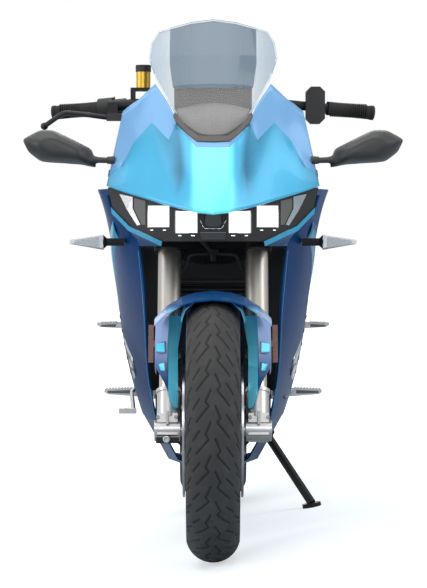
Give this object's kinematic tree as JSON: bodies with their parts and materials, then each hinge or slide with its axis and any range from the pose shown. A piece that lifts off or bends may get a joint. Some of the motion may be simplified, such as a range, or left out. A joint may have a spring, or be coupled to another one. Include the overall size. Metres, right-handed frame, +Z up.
{
  "type": "motorcycle",
  "caption": "Electric sport bike with a full fairing, tall tinted windscreen, square lamps and an upside-down fork, leaning on its side stand.",
  "frame": {"origin": "middle of the bounding box, on the ground", "axes": "+Y to the tail, +Z up, +X to the rider's left, the side that the bike leans to"},
  "size_m": [0.8698, 2.072, 1.2318],
  "materials": {
    "tyre": "matte",
    "rim_black": "satin",
    "steel": "brushed",
    "frame_metal": "satin",
    "fork_metal": "satin",
    "black_plastic": "matte",
    "blue_paint": "gloss",
    "rubber": "matte",
    "gold": "satin",
    "alloy": "satin",
    "red_lens": "gloss",
    "cyan_paint": "gloss",
    "tinted_screen": "gloss",
    "clear_lens": "gloss",
    "seat_cover": "matte",
    "mirror": "gloss"
  },
  "bodies": {
    "chassis": {"drive_chain": "steel", "front_sprocket": "steel", "rear_axle": "steel", "main_frame": "frame_metal", "subframe": "frame_metal", "power_block": "black_plastic", "swingarm": "alloy", "rear_shock": "steel", "radiator": "black_plastic", "rear_hugger": "black_plastic", "rear_caliper": "black_plastic", "brake_pedal": "alloy", "nose_cowl": "cyan_paint", "windscreen": "tinted_screen", "fairing_left": "blue_paint", "fairing_right": "blue_paint", "belly_pan": "blue_paint", "headlamp_unit": "black_plastic", "headlamp_lenses": "clear_lens", "lamp_lips": "cyan_paint", "nose_cheeks": "blue_paint", "nose_stay": "frame_metal", "dash": "black_plastic", "tank_cover": "cyan_paint", "rider_seat": "seat_cover", "tail_cowl": "cyan_paint", "pillion_seat": "seat_cover", "tail_lamp": "red_lens", "mirrors": "black_plastic", "mirror_glasses": "mirror", "rider_pegs": "alloy", "pillion_pegs": "alloy", "indicator_stalks": "rubber", "indicator_lenses": "clear_lens"},
    "steering": {"fork_yokes": "frame_metal", "fork_outers": "fork_metal", "fork_inners": "fork_metal", "fork_feet": "fork_metal", "front_calipers": "black_plastic", "front_fender": "blue_paint", "handlebar": "frame_metal", "grips": "rubber", "switch_box_left": "black_plastic", "throttle_housing": "black_plastic", "brake_pump": "frame_metal", "brake_reservoir": "gold", "reservoir_lid": "black_plastic", "brake_lever": "alloy", "front_axle": "steel", "fork_reflectors": "red_lens", "brake_hoses": "rubber"},
    "front_wheel": {"front_tyre": "tyre", "front_rim": "rim_black", "front_discs": "steel"},
    "rear_wheel": {"rear_tyre": "tyre", "rear_rim": "rim_black", "rear_disc": "steel", "rear_sprocket": "steel"},
    "side_stand": {"side_stand": "frame_metal"}
  },
  "joints": [
    {"name": "steering", "type": "hinge", "parent": "chassis", "child": "steering", "pos_m": [-0.0321, -0.48118, 0.78193], "axis": [0.1743, 0.4067, 0.8968], "range_deg": [-25, 25]},
    {"name": "front_wheel_spin", "type": "hinge", "parent": "steering", "child": "front_wheel", "pos_m": [-0.12651, -0.73705, 0.29623], "axis": [0.9816, 0, -0.1908], "continuous": true},
    {"name": "rear_wheel_spin", "type": "hinge", "parent": "chassis", "child": "rear_wheel", "pos_m": [-0.12364, 0.66295, 0.31096], "axis": [0.9816, 0, -0.1908], "continuous": true},
    {"name": "side_stand_fold", "type": "hinge", "parent": "chassis", "child": "side_stand", "pos_m": [-0.01364, 0.18295, 0.20604], "axis": [0.9796, 0.2008, 0.0053], "range_deg": [0, 105]}
  ]
}
